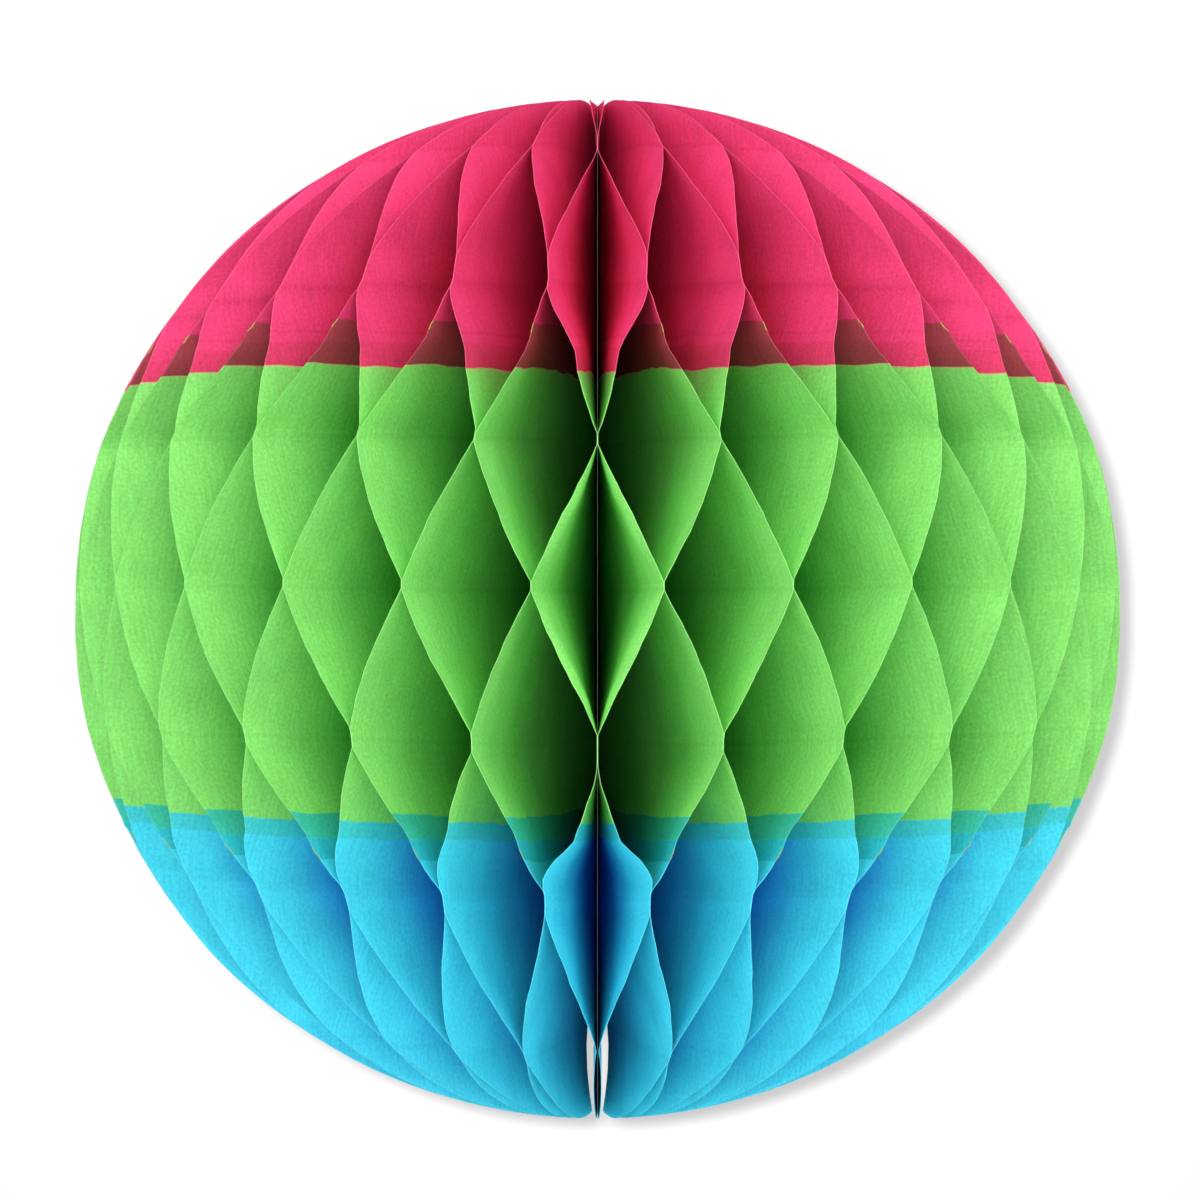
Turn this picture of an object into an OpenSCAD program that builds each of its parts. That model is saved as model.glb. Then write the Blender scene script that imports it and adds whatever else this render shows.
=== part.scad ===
// Honeycomb ball of tissue paper. Half discs of three-coloured tissue are glued to each other along
// rows, and fanned round an upright axis until two cover cards meet at the back.
// Millimetres. The origin is the middle of the ball, +Z runs up its axis and the front faces -Y.

/* [Ball] */
// Width of the open ball
ball_w = 300; // [240:5:400]
// Height of the open ball, pole to pole
ball_h = 292; // [240:2:400]

/* [Tissue sheets] */
// Number of sheets round the ball, always even
sheet_count = 56; // [36:2:56]
// Thickness of a sheet
sheet_t = 0.2; // [0.1:0.05:0.4]
// Width of the square-cut tip of a sheet at each pole
tip_w = 5; // [3:0.5:12]
// Height at which green tissue gives way to cerise
cerise_above = 63; // [50:1:80]
// Depth at which green tissue gives way to blue
blue_below = 60; // [50:1:80]

/* [Glue rows] */
// Height between two rows of glue at the spine
spine_pitch = 41.7; // [36:0.1:46]
// Height between two rows of glue at the rim, where the open cells draw the rows together
rim_pitch = 36.9; // [34:0.1:41]
// Height of the middle row of glue above the middle of the ball
row_lift = 5.3; // [-8:0.1:8]
// Width of a line of glue
glue_w = 2.5; // [1:0.5:5]
// Height by which the tissue clings together past the glue of the rows nearest the poles
cling_h = 4; // [0:0.5:6]
// Thickness of a line of glue
glue_t = 0.02; // [0.01:0.01:0.05]

/* [Fan] */
// Degrees by which the sheets crowd towards the front, at every row
crowd_all = 1.1; // [0:0.1:2]
// Degrees by which they crowd further at the second rows above and below the middle one
crowd_second = 2.4; // [0:0.1:3]
// Room for each sheet beside its neighbours at the spine
spine_room = 0.03; // [0.02:0.01:0.1]

/* [Cover cards] */
// Thickness of a cover card
card_t = 0.5; // [0.3:0.1:1]
// Gap between the two cards, back to back
card_gap = 0.1; // [0.05:0.05:0.4]
// Distance from the rim of the tissue in to the rim of a card
card_inset = 1; // [0:0.5:5]

/* [Hidden] */
CERISE = [0.85, 0.14, 0.33];
GREEN = [0.36, 0.75, 0.25];
BLUE = [0.16, 0.65, 0.88];
CARD = [0.87, 0.86, 0.85];

// Straight pieces in the curve of a sheet's rim between its last glue row and its tip
TIP_STEPS = 3;
// Straight pieces in the rim of a card
CARD_STEPS = 24;
// Least height of tissue past the last row of glue, in rows
FREE_ROWS = 0.3;
// Least height between two rows of corners, in rows
LEAST_STEP = 0.05;
// The first row above or below the middle one at which the tissue clings past its glue
CLING_ROW = 2;
// A bend halfway between two glue rows is left out this close to a change of colour, in rows
NEAR_BEND = 0.25;

rim_r = ball_w / 2;
pole_z = ball_h / 2;
row_draw = 1 - rim_pitch / spine_pitch;

// The sheets fill the turn between the cards, so each wedge is a little narrower than its share
fan_step = 360 / sheet_count;
seam_half = (card_gap / 2 + card_t + glue_t / 2) / cos(fan_step / 2);
wedge_loss = seam_half / sheet_count;
sheet_half = (sheet_t + glue_t) / 2;

// The spine is as tight as the sheets allow where they crowd most
crowding = (3 * crowd_all + 2 * crowd_second) * PI / 180;
spine_r = (sheet_half + wedge_loss + spine_room) / tan(fan_step / 2 * (1 - crowding));
tip_r = spine_r + tip_w;

// Rows are counted from the middle row of glue, which is row 0. Between glue rows they are fractions
top_row = row_at_rim(tip_r, 1);
bottom_row = row_at_rim(tip_r, -1);
cerise_row = (cerise_above - row_lift) / spine_pitch;
blue_row = (-blue_below - row_lift) / spine_pitch;
last_glue = floor((pole_z - row_lift) / spine_pitch - FREE_ROWS);
first_glue = -floor((pole_z + row_lift) / spine_pitch - FREE_ROWS);
colour_rows = [blue_row, cerise_row];

// Height of the ball's outline at a distance from the axis
function rim_z(r) = pole_z * sqrt(1 - pow(r / rim_r, 2));

// Height of a row, which sinks towards the middle of the ball on its way out to the rim
function row_z(row, r) = row_lift + row * spine_pitch * (1 - row_draw * pow(r / rim_r, 2));

// The row that meets the outline at a distance from the axis, above (1) or below (-1) the middle
function row_at_rim(r, up) =
    (up * rim_z(r) - row_lift) / (spine_pitch * (1 - row_draw * pow(r / rim_r, 2)));

// Distance from the axis at which a row meets the outline, from the crossing of its two equations
function row_end(row) =
    let (
        at_spine = row_z(row, 0),
        drop = at_spine - row_z(row, rim_r),
        room = pow(pole_z, 2) - pow(at_spine, 2),
        slope = pow(pole_z, 2) - 2 * at_spine * drop
    )
    rim_r * sqrt(2 * room / (slope + sqrt(pow(slope, 2) + 4 * pow(drop, 2) * room)));

// Height, in rows, over which two sheets lie flat together on each side of a glue row
function flat_half(glue_row) =
    (glue_w / 2 + (abs(glue_row) >= CLING_ROW ? cling_h : 0)) / spine_pitch;

// The rows past a last glue row, evenly spread along the way in to the tip
function tip_rows(glue_row, up) =
    let (start = row_end(glue_row))
    [for (i = [1 : TIP_STEPS]) row_at_rim(start + (tip_r - start) * i / TIP_STEPS, up)];

function reversed(list) = [for (i = [len(list) - 1 : -1 : 0]) list[i]];

function clear_of(row, marks, room) = min([for (m = marks) abs(row - m)]) >= room;

// Every row at which a sheet has corners, from the bottom up
sheet_rows = concat(
    reversed(tip_rows(first_glue - flat_half(first_glue), -1)),
    [for (row = [first_glue : last_glue]) each concat(
        [row - flat_half(row), row + flat_half(row)],
        row < last_glue && clear_of(row + 0.5, colour_rows, NEAR_BEND) ? [row + 0.5] : []
    )],
    tip_rows(last_glue + flat_half(last_glue), 1)
);

// Direction of the border between two neighbouring sheets, in degrees round from the front
function border(index, row) =
    let (even = (index - sheet_count / 2) * fan_step)
    even - crowd_all * sin(3 * even) - crowd_second * pow(sin(45 * row), 4) * sin(2 * even);

// Which border a sheet lies against at a row: 1 the next sheet's, -1 the last one's, between glue
// rows a value between
function lean(index, row) =
    let (
        below = floor(row),
        from = below + flat_half(below),
        to = below + 1 - flat_half(below + 1),
        way = max(0, min(1, (row - from) / (to - from)))
    )
    ((index + below) % 2 == 0 ? 1 : -1) * (1 - 2 * way);

// A sheet's corner at a row: along is its distance out from the axis, face is -1 or 1
function corner(index, row, along, face) =
    let (
        from = border(index, row),
        to = border(index + 1, row),
        angle = (from + to) / 2,
        room = along * tan((to - from) / 2) - wedge_loss - sheet_half,
        across = lean(index, row) * room + face * sheet_t / 2
            + seam_half - wedge_loss * (2 * index + 1)
    )
    [
        along * sin(angle) + across * cos(angle),
        across * sin(angle) - along * cos(angle),
        row_z(row, along)
    ];

// The length of one sheet between two rows, which is one strip of coloured tissue
module tissue_strip(index, low, high) {
    middle = [for (row = sheet_rows) if (row > low + LEAST_STEP && row < high - LEAST_STEP) row];
    rows = concat([low], middle, [high]);
    top = 4 * (len(rows) - 1);
    points = [for (row = rows) each [
        corner(index, row, spine_r, -1),
        corner(index, row, row_end(row), -1),
        corner(index, row, row_end(row), 1),
        corner(index, row, spine_r, 1)
    ]];
    // Both faces of a sheet are cut along the same diagonal, so that neighbours lie flat together
    walls = [for (i = [0 : 4 : top - 4]) each [
        [i, i + 4, i + 5], [i, i + 5, i + 1],
        [i + 1, i + 5, i + 6], [i + 1, i + 6, i + 2],
        [i + 3, i + 2, i + 6], [i + 3, i + 6, i + 7],
        [i + 3, i + 7, i + 4], [i + 3, i + 4, i]
    ]];
    ends = [[0, 1, 2], [0, 2, 3], [top, top + 2, top + 1], [top, top + 3, top + 2]];
    polyhedron(points = points, faces = concat(walls, ends));
}

module tissue_sheet(index) {
    color(BLUE) tissue_strip(index, bottom_row, blue_row);
    color(GREEN) tissue_strip(index, blue_row, cerise_row);
    color(CERISE) tissue_strip(index, cerise_row, top_row);
}

// Half disc of card, standing behind the axis. side is -1 for the left card and 1 for the right
module cover_card(side) {
    card_r = rim_r - card_inset;
    card_z = pole_z - card_inset;
    end = acos(spine_r / card_r);
    rim = [for (i = [0 : CARD_STEPS])
        let (angle = end * (2 * i / CARD_STEPS - 1))
        [card_r * cos(angle), card_z * sin(angle)]
    ];
    middle = side * (card_gap + card_t) / 2;
    color(CARD)
        translate([middle - card_t / 2, 0, 0])
        rotate([90, 0, 90])
        linear_extrude(height = card_t)
        polygon(rim);
}

function sheet_name(index) = str("tissue_sheet_", index < 9 ? "0" : "", index + 1);

for (i = [0 : sheet_count - 1]) {
    tissue_sheet(i);
}
cover_card(-1);  // cover_card_left
cover_card(1);  // cover_card_right
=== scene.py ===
"""Honeycomb tissue paper ball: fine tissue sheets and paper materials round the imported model."""

import math

import bpy
import numpy as np
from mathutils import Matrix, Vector


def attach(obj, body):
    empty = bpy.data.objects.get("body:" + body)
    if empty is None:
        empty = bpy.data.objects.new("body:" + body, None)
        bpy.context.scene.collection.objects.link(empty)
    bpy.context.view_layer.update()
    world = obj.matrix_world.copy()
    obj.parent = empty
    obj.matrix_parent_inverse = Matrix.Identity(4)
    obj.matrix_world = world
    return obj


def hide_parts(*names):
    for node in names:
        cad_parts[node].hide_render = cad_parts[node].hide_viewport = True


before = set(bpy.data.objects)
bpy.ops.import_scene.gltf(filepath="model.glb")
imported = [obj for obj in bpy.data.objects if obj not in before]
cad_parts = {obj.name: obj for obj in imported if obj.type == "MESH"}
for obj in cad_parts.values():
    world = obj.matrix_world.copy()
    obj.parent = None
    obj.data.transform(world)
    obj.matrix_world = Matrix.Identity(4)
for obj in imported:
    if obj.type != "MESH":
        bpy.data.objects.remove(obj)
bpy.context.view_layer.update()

# The ball, in metres. The tissue is thinner than the solids, and reaches a little nearer the axis
MM = 0.001
BALL_R = 0.150
POLE_Z = 0.146
SHEETS = 56
SHEET_T = 0.12 * MM
SPINE_PITCH = 41.7 * MM
RIM_PITCH = 36.9 * MM
ROW_LIFT = 5.3 * MM
ROW_DRAW = 1 - RIM_PITCH / SPINE_PITCH
CROWD_ALL = math.radians(1.1)
CROWD_SECOND = math.radians(2.4)
SPINE_R = 2.2 * MM
TIP_R = 8.0 * MM
LAST_ROW = 3
CARD_GAP, CARD_T, GLUE_T = 0.1 * MM, 0.5 * MM, 0.02 * MM

FAN = 2 * math.pi / SHEETS
SEAM_HALF = (CARD_GAP / 2 + CARD_T + GLUE_T / 2) / math.cos(FAN / 2)
WEDGE_LOSS = SEAM_HALF / SHEETS
SHEET_HALF = (SHEET_T + GLUE_T) / 2

# Sheets are counted from 0 at the seam at the back, left side first. FRONT is the first one on the right
FRONT = SHEETS // 2
# Sheets that stay flat against each other, or against the cards, below the last row of glue
FRONT_PAIR = (FRONT - 1, FRONT)
BACK_PAIR = (0, SHEETS - 1)

# Between two rows of glue: how far, in rows, the sheets still cling above the lower row, how steeply
# they part there (1 is straight), and the same two for the upper row
SPANS = {
    -3: (0.04, 1.05, 0.12, 0.60),
    -2: (0.04, 0.85, 0.08, 1.00),
    -1: (0.05, 1.00, 0.03, 1.00),
    0: (0.03, 1.00, 0.04, 1.00),
    1: (0.03, 1.00, 0.06, 1.00),
    2: (0.17, 0.40, 0.04, 1.20),
}
# The same past the last rows of glue
TIP_SPAN = (0.05, 0.9, 0.05, 0.9)

# How far both sheets of a pair swing away from the front at a row, in mm at a distance of SWING_R from
# the axis. The swing sets in over SWING_SINE, a sine of the angle from the front
SWING = (
    (-3.7, 0), (-3, 0), (-2.7, 0.5), (-2.3, 0.6), (-2.1, 0.7), (-2, 0), (-1.9, 1.7), (-1.8, 2.2),
    (-1.72, 1.9), (-1.62, 1.0), (-1.45, 1.4), (-1.25, 1.1), (-1.1, 0.5), (-1, 0), (-0.75, 0.55),
    (-0.5, 0.8), (-0.25, 0.55), (0, 0), (0.25, 0.55), (0.5, 0.8), (0.75, 0.55), (1, 0),
    (1.25, -0.7), (1.45, -1.3), (1.56, -1.9), (1.7, -0.7), (1.82, 0.1), (1.9, 0.7), (2, 0),
    (2.12, 1.0), (2.25, 1.3), (2.6, 0.6), (3, 0), (3.7, 0),
)
SWING_R = 0.14
SWING_SINE = 0.07
# Rows that the smoothed table of the swing reaches, its step and how far it is smoothed
SMOOTH_REACH, SMOOTH_STEP, SMOOTH_WIDTH = 3.9, 0.01, 0.03

# How far the rims of the front pair come towards each other at a row, in mm
PINCH = (
    (-2.2, 0), (-1.88, 0), (-1.76, 1.8), (-1.66, 4.1), (-1.5, 3.9), (-1.25, 2.6), (-1.08, 0.4), (-1, 0),
    (1.1, 0), (1.3, 0.6), (1.5, 1.4), (1.65, 1.0), (1.8, 0), (3.7, 0),
)
# Between the rows next to the middle one, the front pair bow inwards behind their rims: distance
# behind the rim in mm and share of the bow, and the whole bow in mm
BOW = ((0, 0), (2, 0.55), (5, 1.0), (12, 0.85), (45, 0))
BOW_MM = 1.6
# The power by which the front pair open towards the rim
FLARE = 0.85
# The front pair are bound together up to this far from the axis, and free this much further out
BOUND_R, FREE_R = 0.004, 0.012

# Height by which the tissue at the rim stands above (or hangs below) its even rows, in mm: for each
# row, at each angle from the front
SAG_ANGLES = (0, 15, 30, 45, 60, 90, 180)
SAG = {
    -3.7: (0, 0, 0, 0, 0, 0, 0),
    -3: (-1.7, -2.3, -2.0, -1.0, 0, 0, 0),
    -2: (0.6, 0.2, -0.2, 0, 0.8, 1.2, 1.2),
    -1: (-0.6, 0.3, 1.4, 0.5, 0.5, 1.8, 1.8),
    0: (0, 0.3, 1.2, 1.5, 1.0, 0.5, 0.5),
    1: (-1.8, -0.3, 1.6, 2.4, 2.0, 0.8, 0.8),
    2: (-0.5, 0.2, 1.2, 2.3, -0.5, -3.0, -3.0),
    3: (-4.0, -2.2, -1.6, -2.8, -3.2, -3.6, -3.6),
    3.4: (0, 0, 0, 0, 0, 0, 0),
}
# Near the poles the sag is spread as if the rim were this far from the axis
SAG_LEAST_R = 0.03

# Rows at which the wide laps of the strips end. The longer strip stands out there a little: over how
# many rows the step comes, how deep it is, and the row above and below at which it has faded out
LAP_TOP, LAP_BOTTOM = 1.71, -1.77
STEP_SHARP = 0.006
STEP_DEEP = 0.55 * MM
STEP_DEEP_TOP = 0.8
STEP_FADE = 1.6

# The slits beside the front pair at the lower pole: how far the tissue is pushed aside at a height,
# both in mm, for the front pair and for the rest, and how soon that wears off sideways
SLIT_Z = (-146, -140, -134, -126, -118, -113, -106)
PAIR_SLIT = (0.05, 0.5, 0.85, 1.0, 0.7, 0.1, 0)
SIDE_SLIT = (1.3, 2.2, 2.8, 3.0, 2.4, 1.3, 0)
SLIT_WIDE = 0.009
# The notch at the upper pole in the same way, and how far in front of the axis it is whole
NOTCH_Z = (128, 135, 146)
NOTCH = (0, 0.3, 1.3)
NOTCH_WIDE = 0.010
NOTCH_FRONT = 0.004

# Wandering of the rim (a share of its radius), of the free edges and of the free tissue behind them
# (sideways), with the lengths of their waves in rows
RIM_WANDER, RIM_WAVES = 0.0013, (0.9, 0.37, 0.21, 0.11)
EDGE_WANDER, EDGE_WAVES = 0.35, (0.8, 0.33, 0.19)
BELLY, BELLY_WAVES = 0.5, (1.7, 0.9)
# Turns of the bellies between the axis and the rim, in radians, and where they are whole
BELLY_TURNS, BELLY_R = 9, 0.05
# No rim passes this share of the ball's radius
RIM_LIMIT = 0.9995
# Rows past the last glue at which the tips start
TIP_START = 0.05
SEED = 4000

# Columns from the spine to the rim, which crowd towards the rim by a power. Rows in a span and in a tip
COLUMNS = 25
COLUMN_CROWD = 1.45
SPAN_STEPS = 17
TIP_STEPS = 12

# Distance between the papers of two sheets in the UV map, in rows
PAPER_STEP = 10.0
# Share by which the ends of the colours move away from the middle of the ball, from front to side
COLOUR_DRIFT = 0.07
# How much depth behind the rim the eye meets on the front pair, which sets their painted shade.
# The rest take it from their angle
PAIR_TURN = 0.3


def rim_z(r):
    """Height of the ball's outline at a distance from the axis."""
    return POLE_Z * np.sqrt(1 - (r / BALL_R) ** 2)


def smooth_table(pairs):
    """Even rows and the smoothed values of a table at them."""
    rows = np.arange(-SMOOTH_REACH, SMOOTH_REACH, SMOOTH_STEP)
    values = np.interp(rows, *zip(*pairs))
    away = np.arange(-4 * SMOOTH_WIDTH, 4 * SMOOTH_WIDTH + SMOOTH_STEP / 2, SMOOTH_STEP)
    kernel = np.exp(-0.5 * (away / SMOOTH_WIDTH) ** 2)
    padded = np.pad(values, len(kernel) // 2, mode="edge")
    return rows, np.convolve(padded, kernel / kernel.sum(), "valid")


SWING_ROWS, SWING_MM = smooth_table(SWING)
SAG_ROWS = np.array(sorted(SAG))


def turned(index):
    """Angle from the front of the middle of a sheet, before any crowding."""
    return (index + 0.5 - SHEETS / 2) * FAN


def sag(row, angle):
    """Height above the even row at the rim, for arrays of rows and one angle from the front."""
    at = np.array([np.interp(abs(math.degrees(angle)), SAG_ANGLES, SAG[k]) for k in SAG_ROWS])
    return np.interp(row, SAG_ROWS, at) * MM


def border(index, row):
    """Angle from the front of the border between sheet index - 1 and sheet index."""
    even = (index - SHEETS / 2) * FAN
    crowd = CROWD_ALL * math.sin(3 * even)
    crowd = crowd + CROWD_SECOND * np.sin(row * math.pi / 4) ** 4 * math.sin(2 * even)
    swing = np.interp(row, SWING_ROWS, SWING_MM) * MM / SWING_R
    return even - crowd + swing * math.tanh(math.sin(even) / SWING_SINE)


def hermite(way, first, last):
    """A smooth way from 0 to 1 with a given steepness at each end."""
    return way * (1 - way) ** 2 * first + way ** 2 * (3 - 2 * way) + way ** 2 * (way - 1) * last


def lean(index, row):
    """Which border a sheet lies against at each row, from -1 (the lower one) to 1."""
    out = np.zeros_like(row)
    for k, r in enumerate(row):
        low = min(max(math.floor(r), -LAST_ROW - 1), LAST_ROW)
        hold_low, slope_low, hold_high, slope_high = SPANS.get(low, TIP_SPAN)
        if low < -LAST_ROW and index in FRONT_PAIR + BACK_PAIR:
            low, r = -LAST_ROW, -LAST_ROW
        way = min(max((r - low - hold_low) / (1 - hold_low - hold_high), 0.0), 1.0)
        side = 1 if (index + low) % 2 == 0 else -1
        out[k] = side * (1 - 2 * hermite(way, slope_low, slope_high))
    return out


def rim_radius(row, drop):
    """Distance from the axis at which a row that sinks by drop meets the ball's outline."""
    at_spine = ROW_LIFT + row * SPINE_PITCH
    room = POLE_Z ** 2 - at_spine ** 2
    slope = POLE_Z ** 2 - 2 * at_spine * drop
    share = 2 * room / (slope + np.sqrt(slope ** 2 + 4 * drop ** 2 * room))
    # A row past the pole has no such distance, so the share stays above nothing
    return BALL_R * np.sqrt(np.maximum(share, 1e-8))


def row_samples():
    """Rows from the lower tip to the upper one, close together where the sheets part."""
    spans = []
    for low in range(-LAST_ROW, LAST_ROW):
        hold_low, _, hold_high, _ = SPANS[low]
        spans += [low, low + hold_low * 0.5]
        spans += list(np.linspace(low + hold_low, low + 1 - hold_high, SPAN_STEPS - 2))
        spans += [low + 1 - hold_high * 0.5]
    spans.append(LAST_ROW)
    tips = []
    for up in (-1, 1):
        last = up * (LAST_ROW + TIP_START)
        start = rim_radius(np.array([last]), last * SPINE_PITCH * ROW_DRAW)[0]
        r = np.linspace(start, TIP_R, TIP_STEPS)
        tips.append((up * rim_z(r) - ROW_LIFT) / (SPINE_PITCH * (1 - ROW_DRAW * (r / BALL_R) ** 2)))
    steps = [row + side * STEP_SHARP for row in (LAP_TOP, LAP_BOTTOM) for side in (-1, 1)]
    return np.sort(np.concatenate([tips[0], spans, steps, tips[1]]))


ROWS = row_samples()
OUTWARD = 1 - (1 - np.linspace(0, 1, COLUMNS)) ** COLUMN_CROWD


def waves(rng, row, lengths):
    """A small wandering of a hand-cut edge, between -1 and 1."""
    total = np.zeros_like(row)
    for length in lengths:
        total += np.sin(2 * math.pi * (row / length + rng.random())) * rng.uniform(0.4, 1.0)
    return total / len(lengths)


def paper_number(index):
    """Even for the sheets with the wide laps. Neighbours take turns, and the front pair are alike."""
    return index + (index >= FRONT)


def lap_steps(index):
    """How far the longer strip stands out at each row, on the sheets with the wide laps."""
    if paper_number(index) % 2:
        return 0
    low = np.interp(ROWS, (LAP_BOTTOM - STEP_SHARP, LAP_BOTTOM + STEP_SHARP, -STEP_FADE), (0, 1, 0))
    top_rows = (STEP_FADE, LAP_TOP - STEP_SHARP, LAP_TOP + STEP_SHARP)
    return STEP_DEEP * (low + np.interp(ROWS, top_rows, (0, STEP_DEEP_TOP, 0)))


def sheet_grid(index, rng):
    """Middle surface of a sheet: points (rows, columns, 3), sideways directions, distances out, rim."""
    start, end = border(index, ROWS), border(index + 1, ROWS)
    angle, half = (start + end) / 2, np.tan((end - start) / 2)
    drop = ROWS * SPINE_PITCH * ROW_DRAW
    even_rim = rim_radius(ROWS, drop)
    drop = drop - sag(ROWS, turned(index)) * (BALL_R / np.maximum(even_rim, SAG_LEAST_R)) ** 2
    rim = rim_radius(ROWS, drop) * (1 + RIM_WANDER * waves(rng, ROWS, RIM_WAVES)) + lap_steps(index)
    rim = np.minimum(rim, BALL_R * RIM_LIMIT)
    out = SPINE_R + (rim - SPINE_R)[:, None] * OUTWARD[None, :]
    outward = out / rim[:, None]
    room = out * half[:, None] - WEDGE_LOSS - SHEET_HALF
    inward = -1 if index >= FRONT else 1
    leaning = lean(index, ROWS)[:, None]
    open_row = 1 - leaning ** 2
    if index in FRONT_PAIR:
        # The front pair open like a leaf: they flare near the rim, and hug each other at the spine
        leaning = inward * (1 - (1 - inward * leaning) * outward ** FLARE)
    across = leaning * room + SEAM_HALF - WEDGE_LOSS * (2 * index + 1)
    if index in FRONT_PAIR:
        pinch = np.interp(ROWS, *zip(*PINCH))[:, None] * outward ** 2
        bow = BOW_MM * np.interp((rim[:, None] - out) / MM, *zip(*BOW))
        across = across + inward * MM * (pinch + bow * open_row * (np.abs(ROWS)[:, None] < 1))
    # Free lengths of tissue between the rows belly a little, and their edges wander
    free = (1 - leaning ** 2) * MM
    across = across + free * outward ** 4 * EDGE_WANDER * waves(rng, ROWS, EDGE_WAVES)[:, None]
    belly = waves(rng, ROWS, BELLY_WAVES)[:, None]
    belly = belly * np.sin(out / BALL_R * BELLY_TURNS + rng.uniform(0, 6))
    across = across + free * BELLY * belly * np.minimum(1, out / BELLY_R)
    side = np.stack([np.cos(angle), np.sin(angle), np.zeros_like(angle)], -1)[:, None, :]
    forth = np.stack([np.sin(angle), -np.cos(angle), np.zeros_like(angle)], -1)[:, None, :]
    points = forth * out[..., None] + side * across[..., None]
    points[..., 2] = (ROW_LIFT + ROWS * SPINE_PITCH)[:, None] - drop[:, None] * (out / BALL_R) ** 2
    return points, side, out, rim


def part_poles(points, index):
    """The slits at the lower pole and the notch at the upper one."""
    x, y, z = (points[..., k].copy() for k in range(3))
    away = 1 if index >= FRONT else -1
    shift = 0
    if index in FRONT_PAIR:
        shift = away * MM * np.interp(z / MM, SLIT_Z, PAIR_SLIT)
    elif index not in BACK_PAIR:
        shift = MM * np.interp(z / MM, SLIT_Z, SIDE_SLIT) * np.sign(x) * np.exp(-np.abs(x) / SLIT_WIDE)
    notch = MM * np.interp(z / MM, NOTCH_Z, NOTCH) * np.clip(-y / NOTCH_FRONT, 0, 1)
    points[..., 0] = x + shift + away * notch * np.exp(-np.abs(x) / NOTCH_WIDE)
    if index in FRONT_PAIR:
        # The front pair meet at the spine, so that nothing shows between them, and never cross
        bound = np.clip((FREE_R - np.hypot(x, y)) / (FREE_R - BOUND_R), 0, 1)
        meet = away * SHEET_HALF
        apart = (np.maximum if away > 0 else np.minimum)(points[..., 0], meet)
        points[..., 0] = apart * (1 - bound) + meet * bound
    return points


def grid_faces(rows, columns, flip):
    """The quads of a grid of points."""
    i, j = np.meshgrid(np.arange(rows - 1), np.arange(columns - 1), indexing="ij")
    a = (i * columns + j).ravel()
    quads = np.stack([a, a + 1, a + columns + 1, a + columns], -1)
    return quads[:, ::-1] if flip else quads


def outline_loop(rows, columns):
    """The points round the outline of a grid, in order."""
    bottom = list(range(columns))
    right = [i * columns + columns - 1 for i in range(1, rows)]
    top = [(rows - 1) * columns + j for j in range(columns - 2, -1, -1)]
    left = [i * columns for i in range(rows - 2, 0, -1)]
    return np.array(bottom + right + top + left)


def sheet_mesh(name, points, side):
    """A closed mesh of a sheet: its two faces, and the strip round their outline."""
    rows, columns = points.shape[:2]
    count = rows * columns
    off = side * SHEET_T / 2
    verts = np.concatenate([(points - off).reshape(-1, 3), (points + off).reshape(-1, 3)])
    loop = outline_loop(rows, columns)
    after = np.roll(loop, -1)
    faces = np.concatenate([
        grid_faces(rows, columns, False),
        grid_faces(rows, columns, True) + count,
        np.stack([after, loop, loop + count, after + count], -1),
    ])
    mesh = bpy.data.meshes.new(name)
    mesh.from_pydata(verts.tolist(), [], faces.tolist())
    mesh.update(calc_edges=True)
    mesh.shade_smooth()
    # The outline of each face is sharp
    ends = np.zeros(len(mesh.edges) * 2, np.int32)
    mesh.edges.foreach_get("vertices", ends)
    one, other = ends.reshape(-1, 2).T
    on_outline = np.zeros(2 * count, bool)
    on_outline[loop] = on_outline[loop + count] = True
    sharp = on_outline[one] & on_outline[other] & ((one < count) == (other < count))
    mesh.attributes.new("sharp_edge", "BOOLEAN", "EDGE").data.foreach_set("value", sharp)
    return mesh


def add_uv(mesh, name, u, v):
    """A UV layer with a value of u and v for each point of the grid, the same on both faces."""
    corner = np.zeros(len(mesh.loops), np.int32)
    mesh.loops.foreach_get("vertex_index", corner)
    both = np.tile(np.stack([u.ravel(), v.ravel()], -1), (2, 1))
    layer = mesh.uv_layers.new(name=name)
    layer.data.foreach_set("uv", both[corner].astype(np.float32).ravel())


def tissue_sheet(index):
    """One sheet of tissue, in place of its solid."""
    name = f"tissue_{index + 1:02d}"
    rng = np.random.default_rng(SEED + index)
    points, side, out, rim = sheet_grid(index, rng)
    mesh = sheet_mesh(name, part_poles(points, index), side)
    row = np.tile(ROWS[:, None], COLUMNS)
    cut_mm = (rim[:, None] - out) / MM
    # Distance out and row, both in rows. Then the distance from the rim and the row that the colours
    # go by, and then how far a place lies behind the rim beside it, seen from the front, which sets
    # the painted shade
    add_uv(mesh, "paper", out / SPINE_PITCH + PAPER_STEP * paper_number(index), row)
    add_uv(mesh, "cut", cut_mm, row * (1 - COLOUR_DRIFT * (1 - math.cos(turned(index)))))
    turn = PAIR_TURN if index in FRONT_PAIR else abs(math.sin(turned(index)))
    add_uv(mesh, "behind", cut_mm * turn, row)
    mesh.materials.append(TISSUE)
    piece = bpy.data.objects.new(name, mesh)
    bpy.context.scene.collection.objects.link(piece)
    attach(piece, "root")
    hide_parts(f"tissue_sheet_{index + 1:02d}")
    return piece


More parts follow.
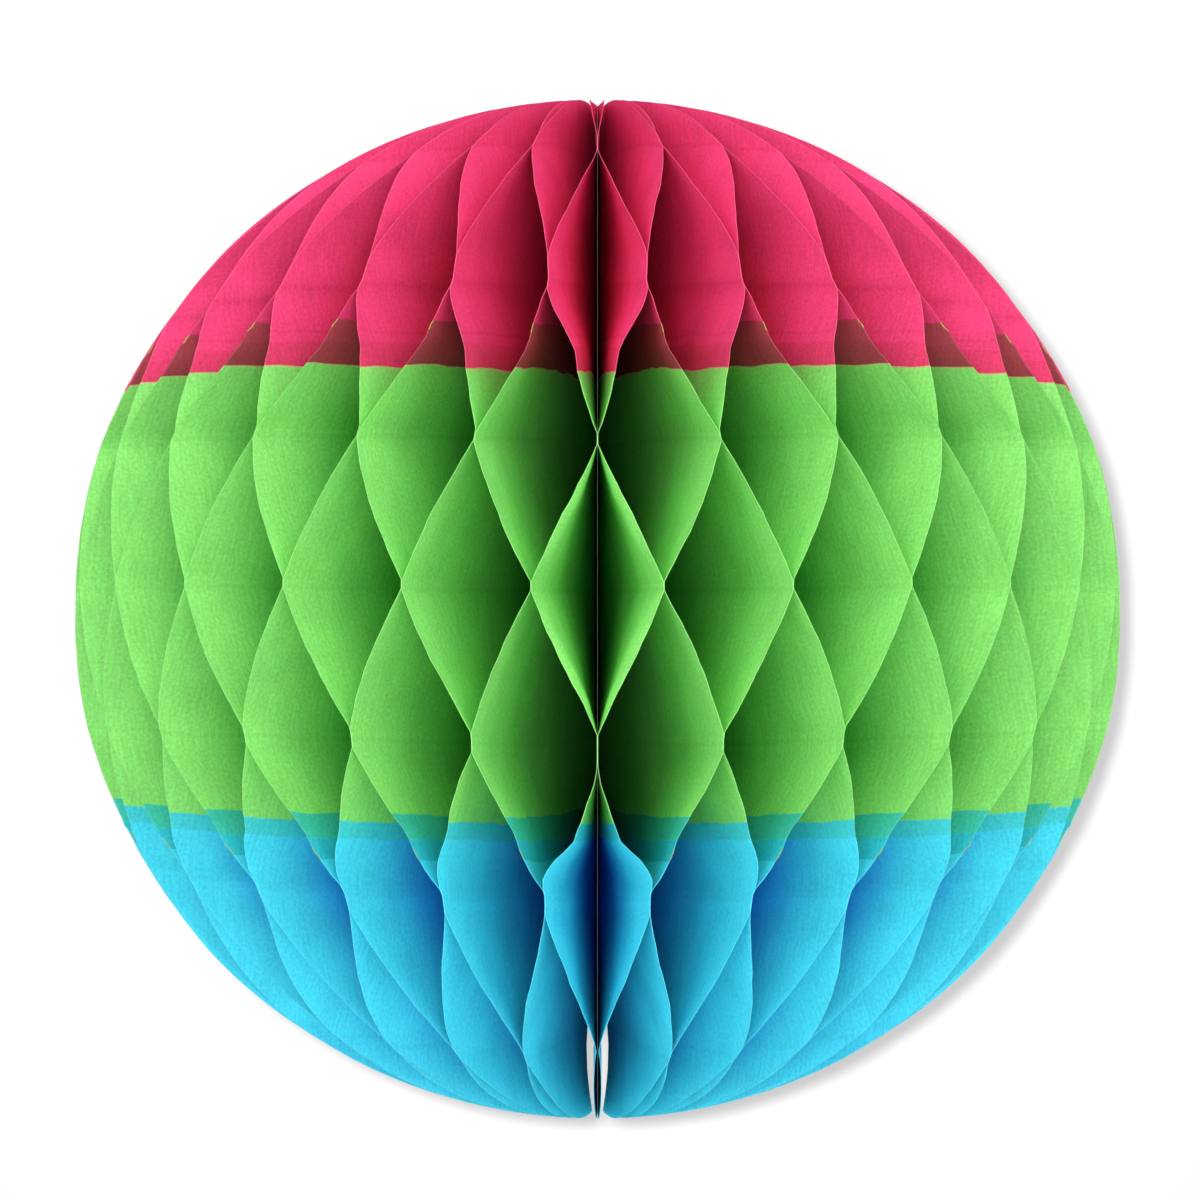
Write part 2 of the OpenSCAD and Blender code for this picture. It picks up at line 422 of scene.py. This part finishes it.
class Graph:
    """Short hands for building the nodes of a material or of the world."""

    def __init__(self, owner):
        owner.use_nodes = True
        self.owner = owner
        self.tree = owner.node_tree
        self.tree.nodes.clear()

    def node(self, kind, **settings):
        made = self.tree.nodes.new(kind)
        for key, value in settings.items():
            setattr(made, key, value)
        return made

    def link(self, a, b):
        self.tree.links.new(a, b)

    def put(self, socket, value):
        """Link a socket or set a constant."""
        if isinstance(value, bpy.types.NodeSocket):
            self.link(value, socket)
        else:
            socket.default_value = value

    def math(self, operation, *values):
        made = self.node("ShaderNodeMath", operation=operation)
        for socket, value in zip(made.inputs, values):
            self.put(socket, value)
        return made.outputs[0]

    def step(self, value, low, high, to_low=0.0, to_high=1.0, kind="SMOOTHSTEP"):
        made = self.node("ShaderNodeMapRange", interpolation_type=kind)
        for socket, v in zip(made.inputs, (value, low, high, to_low, to_high)):
            self.put(socket, v)
        return made.outputs[0]

    def mix(self, factor, a, b, blend="MIX"):
        made = self.node("ShaderNodeMix", data_type="RGBA", blend_type=blend)
        for socket, value in zip((made.inputs[k] for k in (0, 6, 7)), (factor, a, b)):
            self.put(socket, value)
        return made.outputs[2]

    def grey(self, value):
        made = self.node("ShaderNodeCombineColor")
        for socket in made.inputs[:3]:
            self.put(socket, value)
        return made.outputs[0]

    def noise(self, dimensions, vector, scale, detail, rough):
        made = self.node("ShaderNodeTexNoise", noise_dimensions=dimensions)
        values = {"Vector": vector, "Scale": scale, "Detail": detail, "Roughness": rough}
        for name, value in values.items():
            self.put(made.inputs[name], value)
        return made.outputs["Fac"]

    def vary(self, value, noise, amount):
        """A value that a noise moves to both sides."""
        return self.math("MULTIPLY_ADD", self.math("SUBTRACT", noise, 0.5), amount, value)

    def finish(self, shader, kind="ShaderNodeOutputMaterial"):
        self.link(shader, self.node(kind).inputs["Surface"])
        return self.owner


def rgb(r, g, b):
    """sRGB 0-255 to a linear colour."""
    def lin(v):
        v /= 255
        return v / 12.92 if v <= 0.04045 else ((v + 0.055) / 1.055) ** 2.4
    return (lin(r), lin(g), lin(b), 1.0)


# Dyes as sRGB at the rim, and tones deep in the cells. The deep tones are painted shade:
# darker and deeper in colour where the light has met more paper
CERISE = ((243, 73, 128), (196, 32, 46))
GREEN = ((148, 234, 122), (66, 182, 58))
BLUE = ((80, 230, 255), (22, 124, 234))
BROWN = ((182, 76, 90), (130, 50, 54))
DARK_BROWN = ((168, 72, 80), (120, 50, 50))
DARK_CERISE = ((228, 68, 106), (128, 40, 50))
DEEP_TEAL = ((74, 206, 186), (20, 92, 72))
TEAL = ((76, 218, 226), (40, 164, 176))
BLUE_TEAL = ((60, 204, 222), (24, 104, 124))
# Distances behind the rim, in mm, over which the painted shade of the deep tones takes over and
# then a further painted shade sets in, and that painted shade itself
DEEP_SHADE_FROM, DEEP_SHADE_TO = 5.0, 28.0
SHADE_FROM, SHADE_TO, SHADE = 26.0, 60.0, 0.25

# A pair of rows or of shares is for the sheets with the wide laps, and then for the rest.
# Rows where a colour ends
CERISE_END = (1.43, 1.415)
BLUE_END = (-1.485, -1.53)
# Rows where the narrow laps end, and the darker tone in the wide ones
NARROW_TOP = (1.575, 1.575)
NARROW_BOTTOM = (-1.64, -1.64)
# Tones in the laps, laid on one after the other: dye, the two rows between which it lies, and its share
LOWER_LAP = (
    (DEEP_TEAL, NARROW_BOTTOM, BLUE_END, (1, 0)),
    (TEAL, NARROW_BOTTOM, BLUE_END, (0, 1)),
    (BLUE_TEAL, (LAP_BOTTOM, NARROW_BOTTOM[1]), NARROW_BOTTOM, (1, 0)),
)
UPPER_LAP = (
    (BROWN, CERISE_END, (LAP_TOP, NARROW_TOP[1]), (1, 0)),
    (DARK_BROWN, CERISE_END, NARROW_TOP, (0.35, 0)),
    (DARK_CERISE, CERISE_END, NARROW_TOP, (0, 0.6)),
    (DARK_CERISE, (1.632, 1.632), (1.652, 1.652), (0, 0.45)),
)
# A painted highlight: the cut end of the green strip catches the light on the cerise one
HIGHLIGHT_END, HIGHLIGHT_SHARE, HIGHLIGHT_TONE = (1.418, 1.403), (0.35, 0.35), (236, 196, 150)
# Green shows at the rim where the longer strip ends: rows, distances from the rim in mm, and tone
TIP_TOP = (1.655, 1.655), (LAP_TOP, LAP_TOP)
TIP_BOTTOM = (LAP_BOTTOM, LAP_BOTTOM), (-1.70, -1.70)
TIP_FROM, TIP_TO, TIP_TONE = 0.15, 0.45, (176, 196, 86)
# The cut edge is painted a little paler: a painted highlight where the edge catches the light
CUT_FROM, CUT_TO, CUT_HIGHLIGHT_SHARE, CUT_HIGHLIGHT_TONE = 0.1, 0.5, 0.06, (236, 236, 214)
# Softness of the ends of the strips and how far they wander, in rows
END_SOFT, END_WANDER = 0.005, 0.035
# Glue shows as a faint line just below its row: how far below, over which distances from its middle
# it fades, and how dark it is
GLUE_BELOW, GLUE_FROM, GLUE_TO, GLUE_DARK = 0.018, 0.004, 0.03, -0.045
# Grain, by scale, detail and roughness: clouds, fibres drawn out along the height, and fine mottle
CLOUD = (2.3, 1.0, 0.55)
FIBRE = (2.0, 1.0, 0.6)
FIBRE_DRAW = (26.0, 2.2, 1.0)
MOTTLE = (42.0, 1.0, 0.65)
CLOUD_TONE, FIBRE_TONE, MOTTLE_TONE = 0.24, 0.24, 0.34


def tissue_material():
    """Dyed tissue, coloured by the rows and distances in the UV maps, with painted shade deep in the
    cells.
    """
    g = Graph(bpy.data.materials.new("tissue_paper"))

    def uv_map(name):
        where = g.node("ShaderNodeUVMap", uv_map=name).outputs[0]
        split = g.node("ShaderNodeSeparateXYZ")
        g.link(where, split.inputs[0])
        return where, split.outputs[0], split.outputs[1]

    paper, along, true_row = uv_map("paper")
    _, cut_mm, row = uv_map("cut")
    _, shade_depth_mm, _ = uv_map("behind")
    odd = g.math("MODULO", g.math("FLOOR", g.math("DIVIDE", along, PAPER_STEP)), 2.0)
    even = g.math("SUBTRACT", 1.0, odd)
    cloud = g.noise("2D", paper, *CLOUD)
    row = g.vary(row, cloud, END_WANDER)
    # Painted shade: deep in the cells each dye turns to its darker shaded tone
    painted_shade_share = g.step(shade_depth_mm, DEEP_SHADE_FROM, DEEP_SHADE_TO)

    def dye_with_painted_shade(tones):
        return g.mix(painted_shade_share, rgb(*tones[0]), rgb(*tones[1]))

    def pick(pair):
        return g.math("MULTIPLY_ADD", odd, pair[1] - pair[0], pair[0])

    def above(pair):
        return g.step(g.math("SUBTRACT", row, pick(pair)), -END_SOFT, END_SOFT)

    def band(low, high, share):
        inside = g.math("MULTIPLY", above(low), g.math("SUBTRACT", 1.0, above(high)))
        return g.math("MULTIPLY", inside, pick(share))

    colour = g.mix(above(BLUE_END), dye_with_painted_shade(BLUE), dye_with_painted_shade(GREEN))
    for tones, low, high, share in LOWER_LAP:
        colour = g.mix(band(low, high, share), colour, dye_with_painted_shade(tones))
    colour = g.mix(above(CERISE_END), colour, dye_with_painted_shade(CERISE))
    for tones, low, high, share in UPPER_LAP:
        colour = g.mix(band(low, high, share), colour, dye_with_painted_shade(tones))
    # Painted highlight where the cut end of the green strip lies on the cerise
    colour = g.mix(band(HIGHLIGHT_END, CERISE_END, HIGHLIGHT_SHARE), colour, rgb(*HIGHLIGHT_TONE))

    streaks = g.node("ShaderNodeMapping")
    g.link(paper, streaks.inputs[0])
    streaks.inputs["Scale"].default_value = FIBRE_DRAW
    tone = g.vary(1.0, g.noise("2D", streaks.outputs[0], *FIBRE), FIBRE_TONE)
    tone = g.vary(tone, g.noise("2D", paper, *MOTTLE), MOTTLE_TONE)
    tone = g.vary(tone, cloud, CLOUD_TONE)
    past_row = g.math("SUBTRACT", g.math("FRACT", g.math("ADD", true_row, 0.5)), 0.5)
    from_glue = g.math("ABSOLUTE", g.math("ADD", past_row, GLUE_BELOW))
    line = g.step(from_glue, GLUE_FROM, GLUE_TO, 1.0, 0.0)
    tone = g.math("MULTIPLY", tone, g.math("MULTIPLY_ADD", line, GLUE_DARK, 1.0))
    # Painted shade: the tone darkens further far behind the rim, deep in the cells
    tone = g.math("MULTIPLY", tone, g.step(shade_depth_mm, SHADE_FROM, SHADE_TO, 1.0, SHADE))
    colour = g.mix(1.0, colour, g.grey(tone), "MULTIPLY")

    tip = g.math("MULTIPLY", g.step(cut_mm, TIP_FROM, TIP_TO, 1.0, 0.0), even)
    ends = g.math("ADD", band(*TIP_TOP, (1, 0)), band(*TIP_BOTTOM, (1, 0)))
    colour = g.mix(g.math("MULTIPLY", tip, ends), colour, rgb(*TIP_TONE))
    # Painted highlight along the cut edge
    colour = g.mix(g.step(cut_mm, CUT_FROM, CUT_TO, CUT_HIGHLIGHT_SHARE, 0.0), colour, rgb(*CUT_HIGHLIGHT_TONE))

    face = g.node("ShaderNodeBsdfDiffuse")
    g.link(colour, face.inputs["Color"])
    return g.finish(face.outputs[0])


# Grain of the card by scale, detail and roughness, how far it moves the tone, and the card's finish
CARD_TONE = (228, 224, 214)
CARD_FIBRE, CARD_FIBRE_TONE = (900.0, 3.0, 0.6), 0.16
CARD_CLOUD, CARD_CLOUD_TONE = (60.0, 2.0, 0.5), 0.10
CARD_BUMP, CARD_BUMP_DEEP = 0.25, 0.0003
CARD_ROUGH, CARD_GLOSS = 0.7, 0.25


def card_material():
    """Plain unprinted card."""
    g = Graph(bpy.data.materials.new("cover_card"))
    where = g.node("ShaderNodeTexCoord").outputs["Object"]
    fibre = g.noise("3D", where, *CARD_FIBRE)
    tone = g.vary(1.0, fibre, CARD_FIBRE_TONE)
    tone = g.vary(tone, g.noise("3D", where, *CARD_CLOUD), CARD_CLOUD_TONE)
    bump = g.node("ShaderNodeBump")
    bump.inputs["Strength"].default_value = CARD_BUMP
    bump.inputs["Distance"].default_value = CARD_BUMP_DEEP
    g.link(fibre, bump.inputs["Height"])
    face = g.node("ShaderNodeBsdfPrincipled")
    face.inputs["Roughness"].default_value = CARD_ROUGH
    face.inputs["Specular IOR Level"].default_value = CARD_GLOSS
    g.link(g.mix(1.0, rgb(*CARD_TONE), g.grey(tone), "MULTIPLY"), face.inputs["Base Color"])
    g.link(bump.outputs[0], face.inputs["Normal"])
    return g.finish(face.outputs[0])


TISSUE = tissue_material()
CARD = card_material()

for index in range(SHEETS):
    tissue_sheet(index)

for name in ("cover_card_left", "cover_card_right"):
    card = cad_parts[name]
    card.data.materials.clear()
    card.data.materials.append(CARD)

# The ball hangs in front of a white backdrop, with the floor below the picture
FLOOR_Z = -1.2
WALL_Y = 1.55
WALL_TOP = 3
STAGE_HALF = 4.0
# How much light a ground gives back, and its own light for the camera
FLOOR_WHITE = (0.85, 0.15)
WALL_WHITE = (0.20, 0.36)
WHITE = (1, 1, 1, 1)
# Strength of the light that comes from the front, and from the sides and the back
WORLD_FRONT, WORLD_BACK = 2.2, 0.45
# Lamps: place, what they point at, size and power. The second is a small one beside the camera
CAMERA_BACK = 0.825
FRONT_LAMP = ((0, -1.6, -0.15), (0, 0, 0), 0.5, 3.4)
SHADOW_LAMP = ((-0.005, -CAMERA_BACK, 0.0035), (-0.005, WALL_Y, 0.0035), 0.007, 125)
# The camera fitted to the photo: sensor, lens and shift
SENSOR_MM, LENS_MM = 36, 84.93
SHIFT_X, SHIFT_Y = 0.00208, 0.0075


def camera_sees(g):
    """1 where the camera sees a thing, also by gloss or glass."""
    path = g.node("ShaderNodeLightPath").outputs
    seen = g.math("MAXIMUM", path["Is Camera Ray"], path["Is Glossy Ray"])
    return g.math("MAXIMUM", seen, path["Is Transmission Ray"])


def stage_material(name, base, own):
    """White ground: own light for the camera, and diffuse light on top of it, so that shadows show."""
    g = Graph(bpy.data.materials.new(name))
    diffuse = g.node("ShaderNodeBsdfDiffuse")
    diffuse.inputs["Color"].default_value = (base, base, base, 1)
    glow = g.node("ShaderNodeEmission")
    glow.inputs["Color"].default_value = WHITE
    g.link(g.math("MULTIPLY", camera_sees(g), own), glow.inputs["Strength"])
    both = g.node("ShaderNodeAddShader")
    g.link(diffuse.outputs[0], both.inputs[0])
    g.link(glow.outputs[0], both.inputs[1])
    return g.finish(both.outputs[0])


def stage_sheet(name, one, other, material):
    """A flat sheet, as wide as the stage, between two level lines that are given by y and z."""
    corners = [(x, *line) for x, line in (
        (-STAGE_HALF, one), (STAGE_HALF, one), (STAGE_HALF, other), (-STAGE_HALF, other),
    )]
    mesh = bpy.data.meshes.new(name)
    mesh.from_pydata(corners, [], [(0, 1, 2, 3)])
    mesh.materials.append(material)
    sheet = bpy.data.objects.new(name, mesh)
    bpy.context.scene.collection.objects.link(sheet)
    return sheet


def studio_world():
    """Soft light from all round, stronger from the front. The camera sees plain white."""
    g = Graph(bpy.data.worlds.new("studio"))
    split = g.node("ShaderNodeSeparateXYZ")
    g.link(g.node("ShaderNodeTexCoord").outputs["Generated"], split.inputs[0])
    level = g.step(split.outputs[1], -1.0, 0.0, WORLD_FRONT, WORLD_BACK, "LINEAR")
    pick = g.node("ShaderNodeMix", data_type="FLOAT")
    for k, value in ((0, camera_sees(g)), (2, level), (3, 1.0)):
        g.put(pick.inputs[k], value)
    light = g.node("ShaderNodeBackground")
    light.inputs["Color"].default_value = WHITE
    g.link(pick.outputs[0], light.inputs["Strength"])
    world = g.finish(light.outputs[0], "ShaderNodeOutputWorld")
    # Light this soft is met often enough without being sampled, and the render is quicker
    world.cycles.sampling_method = "NONE"
    bpy.context.scene.world = world


def disk_lamp(name, place, target, size, power):
    """A round lamp that the camera doesn't see."""
    data = bpy.data.lights.new(name, "AREA")
    data.shape = "DISK"
    data.size = size
    data.energy = power
    lamp = bpy.data.objects.new(name, data)
    bpy.context.scene.collection.objects.link(lamp)
    lamp.location = place
    lamp.rotation_mode = "QUATERNION"
    lamp.rotation_quaternion = (Vector(target) - Vector(place)).to_track_quat("-Z", "Y")
    lamp.visible_camera = False
    return lamp


foot, top = (WALL_Y, FLOOR_Z), (WALL_Y, WALL_TOP)
stage_sheet("floor", (-STAGE_HALF, FLOOR_Z), foot, stage_material("floor_white", *FLOOR_WHITE))
wall = stage_sheet("backdrop", foot, top, stage_material("backdrop_white", *WALL_WHITE))
studio_world()
disk_lamp("front", *FRONT_LAMP)

# This lamp lights the backdrop alone, where the ball's close shadow falls
shadow_lamp = disk_lamp("backdrop_lamp", *SHADOW_LAMP)
backdrop_only = bpy.data.collections.new("backdrop_only")
backdrop_only.objects.link(wall)
shadow_lamp.light_linking.receiver_collection = backdrop_only

camera_data = bpy.data.cameras.new("camera")
camera_data.sensor_width = SENSOR_MM
camera_data.lens = LENS_MM
camera_data.shift_x = SHIFT_X
camera_data.shift_y = SHIFT_Y
camera = bpy.data.objects.new("camera", camera_data)
bpy.context.scene.collection.objects.link(camera)
camera.location = (0, -CAMERA_BACK, 0)
camera.rotation_euler = (math.pi / 2, 0, 0)
bpy.context.scene.camera = camera

bpy.context.scene.view_settings.view_transform = "Standard"
# Little light is left after a few turns inside a cell
bpy.context.scene.cycles.max_bounces = 4
bpy.context.scene.cycles.diffuse_bounces = 3
